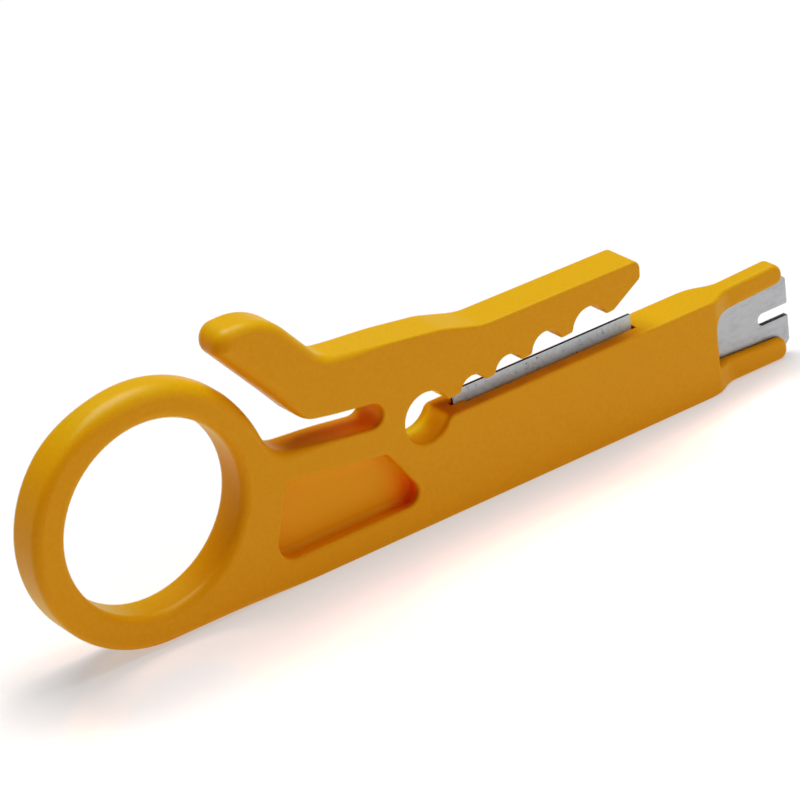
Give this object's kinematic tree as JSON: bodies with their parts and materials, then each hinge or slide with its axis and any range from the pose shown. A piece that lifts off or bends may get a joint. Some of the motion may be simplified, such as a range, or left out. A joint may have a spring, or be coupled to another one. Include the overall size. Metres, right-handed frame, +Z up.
{
  "type": "punch down tool",
  "caption": "Slim hand tool with a finger ring, a springy notched jaw over a steel stripping blade, and a slotted steel fork at the tip for seating wires.",
  "frame": {"origin": "under the middle of the tool, on the plane of its straight bottom edge", "axes": "+X along the tool from the finger ring to the fork, +Y through its thickness away from the front face, +Z up"},
  "size_m": [0.0926, 0.0046, 0.0289],
  "materials": {
    "yellow_plastic": "satin moulded ABS with a fine even grain",
    "strip_steel": "satin rolled strip with small specks",
    "fork_steel": "satin stamped plate with fine mottling"
  },
  "bodies": {
    "frame": {"frame": "yellow_plastic", "flexure_neck": "yellow_plastic", "stripping_blade": "strip_steel", "punch_down_blade": "fork_steel"},
    "arm": {"arm": "yellow_plastic"}
  },
  "joints": [
    {"name": "arm_flex", "type": "hinge", "parent": "frame", "child": "arm", "pos_m": [-0.00522, 0, 0.01316], "axis": [0, -1, 0], "range_deg": [-3.5, 6], "stiffness_Nm_per_rad": 4, "deforming": ["flexure_neck"]}
  ]
}
